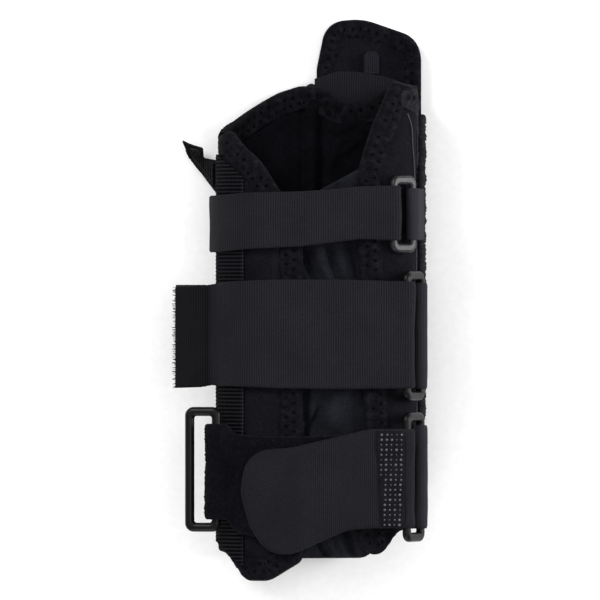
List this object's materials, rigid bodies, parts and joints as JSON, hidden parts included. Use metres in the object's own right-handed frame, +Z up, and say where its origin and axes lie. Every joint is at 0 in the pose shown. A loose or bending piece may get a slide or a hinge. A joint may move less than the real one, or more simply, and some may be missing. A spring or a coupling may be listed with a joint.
{
  "type": "wrist splint",
  "caption": "Padded fabric wrist splint that opens down the front, with ring-tensioned touch-tape straps, a padded hand tab and removable metal stays.",
  "frame": {"origin": "centre of the stay pocket's flat outer face, which the splint lies on", "axes": "+Y along the sleeve towards the fingers, +Z up out of the front opening, +X towards the side that holds the three strap rings"},
  "size_m": [0.1165, 0.2599, 0.0674],
  "materials": {
    "padded_laminate": "fine knit faced foam laminate, matt",
    "lining_knit": "brushed lining knit, matt",
    "edge_binding": "bound edge, zigzag stitched",
    "tongue_knit": "thin soft napped knit",
    "flat_webbing": "flat woven webbing, fine lengthwise ribs",
    "ribbed_webbing": "elastic webbing with crosswise ribs",
    "loop_pile": "loop pile side of touch tape",
    "hook_pile": "hook side of touch tape",
    "grip_print": "backing printed with small raised grip dots",
    "pull_tape": "narrow woven tape",
    "ring_plastic": "moulded acetal, satin gloss",
    "stay_metal": "flat bar, brushed"
  },
  "bodies": {
    "sleeve": {"back_panel": "padded_laminate", "back_elbow_edge_tape": "edge_binding", "back_finger_edge_tape": "edge_binding", "back_lining": "lining_knit", "back_stay_pocket": "padded_laminate", "left_side_panel": "padded_laminate", "right_side_panel": "padded_laminate", "side_pile_strip": "loop_pile", "tongue": "tongue_knit", "hand_tab": "padded_laminate", "hand_tab_edge_tape": "edge_binding", "hand_tab_stay": "stay_metal", "hand_tab_pull": "pull_tape", "thumb_strap": "flat_webbing"},
    "left_flap": {"left_front_flap": "padded_laminate", "left_flap_edge_tape": "edge_binding", "left_flap_lining": "lining_knit", "shoulder_webbing": "ribbed_webbing", "loop_strap": "loop_pile"},
    "right_flap": {"right_front_flap": "padded_laminate", "right_flap_edge_tape": "edge_binding", "right_flap_lining": "lining_knit", "palm_ring_chape": "flat_webbing", "wrist_ring_chape": "flat_webbing", "forearm_ring_chape": "flat_webbing"},
    "cinch_ring": {"cinch_ring": "ring_plastic"},
    "palm_ring": {"palm_ring": "ring_plastic"},
    "wrist_ring": {"wrist_ring": "ring_plastic"},
    "forearm_ring": {"forearm_ring": "ring_plastic"},
    "palm_strap": {"palm_strap": "flat_webbing", "palm_strap_hook": "hook_pile"},
    "wrist_strap": {"wrist_strap": "flat_webbing", "wrist_strap_hook": "hook_pile"},
    "forearm_strap": {"forearm_strap": "flat_webbing", "forearm_strap_hook": "hook_pile", "forearm_grip_patch": "grip_print"},
    "thumb_tail": {"thumb_strap_tail": "flat_webbing", "thumb_tail_hook": "hook_pile"},
    "back_stay": {"back_stay": "stay_metal"},
    "left_side_stay": {"left_side_stay": "stay_metal"},
    "right_side_stay": {"right_side_stay": "stay_metal"}
  },
  "joints": [
    {"name": "right_flap_open", "type": "hinge", "parent": "sleeve", "child": "right_flap", "pos_m": [0.0445, 0, 0.0377], "axis": [0, 1, 0], "range_deg": [0, 90]},
    {"name": "left_flap_open", "type": "hinge", "parent": "sleeve", "child": "left_flap", "pos_m": [-0.0465, 0, 0.0377], "axis": [0, -1, 0], "range_deg": [0, 40.5]},
    {"name": "palm_ring_swivel", "type": "hinge", "parent": "right_flap", "child": "palm_ring", "pos_m": [0.0426, 0.0395, 0.0541], "axis": [0, 1, 0], "range_deg": [0, 20]},
    {"name": "palm_strap_peel", "type": "hinge", "parent": "palm_ring", "child": "palm_strap", "pos_m": [0.034, 0.0395, 0.0611], "axis": [0, 1, 0], "range_deg": [0, 90]},
    {"name": "wrist_ring_swivel", "type": "hinge", "parent": "right_flap", "child": "wrist_ring", "pos_m": [0.0463, -0.0165, 0.0481], "axis": [0, 1, 0], "range_deg": [0, 20]},
    {"name": "wrist_strap_peel", "type": "hinge", "parent": "wrist_ring", "child": "wrist_strap", "pos_m": [0.0399, -0.0165, 0.0608], "axis": [0, 1, 0], "range_deg": [0, 90]},
    {"name": "forearm_ring_swivel", "type": "hinge", "parent": "right_flap", "child": "forearm_ring", "pos_m": [0.0463, -0.0815, 0.0507], "axis": [0, 1, 0], "range_deg": [0, 20]},
    {"name": "forearm_strap_peel", "type": "hinge", "parent": "forearm_ring", "child": "forearm_strap", "pos_m": [0.0399, -0.0815, 0.0628], "axis": [0, 1, 0], "range_deg": [0, 90]},
    {"name": "cinch_ring_swing", "type": "hinge", "parent": "left_flap", "child": "cinch_ring", "pos_m": [-0.0477, -0.078, 0.0554], "axis": [0, 1, 0], "range_deg": [-40, 60]},
    {"name": "thumb_tail_lift", "type": "hinge", "parent": "sleeve", "child": "thumb_tail", "pos_m": [-0.045, 0.062, 0.00365], "axis": [0, 1, 0], "range_deg": [0, 40]},
    {"name": "back_stay_slide", "type": "slide", "parent": "sleeve", "child": "back_stay", "axis": [0, -1, 0], "range_m": [0, 0.15]},
    {"name": "left_side_stay_slide", "type": "slide", "parent": "sleeve", "child": "left_side_stay", "axis": [0, 1, 0], "range_m": [0, 0.17]},
    {"name": "right_side_stay_slide", "type": "slide", "parent": "sleeve", "child": "right_side_stay", "axis": [0, 1, 0], "range_m": [0, 0.17]}
  ],
  "couplings": [
    {"joint": "left_flap_open", "follows": "right_flap_open", "ratio": 0.45}
  ]
}
